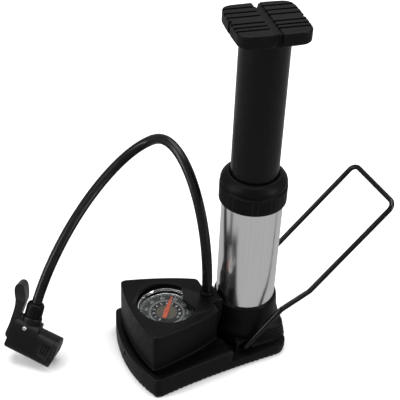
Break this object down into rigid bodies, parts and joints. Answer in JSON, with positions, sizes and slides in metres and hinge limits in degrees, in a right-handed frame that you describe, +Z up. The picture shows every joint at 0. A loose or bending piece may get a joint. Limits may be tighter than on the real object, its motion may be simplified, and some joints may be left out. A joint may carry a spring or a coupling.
{
  "type": "foot pump",
  "caption": "Standing foot pump with a push tread on a sliding tube, a polished barrel, a base with a dial gauge, a folding wire pedal and a hose with a lever head.",
  "frame": {"origin": "on the floor under the barrel axis, on the sole's underside", "axes": "+Z up along the barrel, +X from the gauge end of the base towards the wire pedal, the base is symmetric about the XZ plane"},
  "size_m": [0.2826, 0.1254, 0.266],
  "materials": {
    "base_plastic": "fine spark-eroded texture, matte black",
    "inner_plastic": "plain moulded black",
    "satin_plastic": "satin black, smooth",
    "sole_rubber": "matte black rubber with cleats",
    "seal_rubber": "soft black rubber",
    "hose_rubber": "satin black extruded hose",
    "barrel_aluminium": "polished drawn tube",
    "bezel_chrome": "bright plated ring",
    "screw_steel": "zinc plated",
    "wire_enamel": "gloss black enamel on round wire",
    "gauge_brass": "plain machined",
    "dial_print": "grey dial with a black ring and white figures",
    "needle_paint": "orange red paint",
    "lens_clear": "clear flat lens"
  },
  "bodies": {
    "base": {"rubber_sole": "sole_rubber", "base_tray": "base_plastic", "base_screw_1": "screw_steel", "base_screw_2": "screw_steel", "base_screw_3": "screw_steel", "base_screw_4": "screw_steel", "gauge_housing": "base_plastic", "gauge_case": "inner_plastic", "gauge_dial": "dial_print", "gauge_bezel": "bezel_chrome", "gauge_lens": "lens_clear", "bourdon_tube": "gauge_brass", "gauge_movement": "gauge_brass", "gauge_stem": "gauge_brass", "air_manifold": "inner_plastic", "barrel_socket": "base_plastic", "pedal_bush_left": "satin_plastic", "pedal_bush_right": "satin_plastic", "barrel_tube": "barrel_aluminium", "foot_seal": "seal_rubber", "collar_nut": "base_plastic", "guide_bush": "satin_plastic", "wiper_ring": "seal_rubber", "hose_gland": "base_plastic", "air_hose": "hose_rubber", "head_nut": "base_plastic", "head_barb": "gauge_brass", "head_body": "base_plastic", "head_nozzle": "base_plastic", "head_grommet": "seal_rubber", "lever_pin": "screw_steel"},
    "piston_seal": {"piston_oring": "seal_rubber"},
    "plunger": {"piston": "inner_plastic", "plunger_tube": "satin_plastic", "handle_tread": "base_plastic"},
    "pedal": {"pedal_wire": "wire_enamel"},
    "lever": {"head_lever": "satin_plastic"},
    "pusher": {"head_pusher": "satin_plastic"},
    "needle": {"gauge_needle": "needle_paint", "needle_arbor": "screw_steel"},
    "outlet_valve": {"outlet_valve": "seal_rubber"}
  },
  "joints": [
    {"name": "plunger_stroke", "type": "slide", "parent": "base", "child": "piston_seal", "axis": [0, 0, 1], "range_m": [-0.104, 0]},
    {"name": "tread_turn", "type": "hinge", "parent": "piston_seal", "child": "plunger", "pos_m": [0, 0, 0.2], "axis": [0, 0, 1], "continuous": true},
    {"name": "pedal_fold", "type": "hinge", "parent": "base", "child": "pedal", "pos_m": [-0.0135, 0, 0.0125], "axis": [0, -1, 0], "range_deg": [-44.5, 31.4]},
    {"name": "lever_lock", "type": "hinge", "parent": "base", "child": "lever", "pos_m": [-0.15805, 0.03675, 0.0302], "axis": [-0.5183, -0.7847, 0.3401], "range_deg": [0, 70]},
    {"name": "pusher_travel", "type": "slide", "parent": "base", "child": "pusher", "axis": [0.7179, -0.6153, -0.3256], "range_m": [0, 0.0011]},
    {"name": "needle_sweep", "type": "hinge", "parent": "base", "child": "needle", "pos_m": [-0.0638, 0, 0.0418], "axis": [0, 0, -1], "range_deg": [-161, 109]},
    {"name": "outlet_valve_lift", "type": "slide", "parent": "base", "child": "outlet_valve", "axis": [0, 0, 1], "range_m": [-0.0015, 0], "stiffness_N_per_m": 30}
  ],
  "couplings": [
    {"joint": "pusher_travel", "follows": "lever_lock", "m_per_rad": 0.0009}
  ]
}
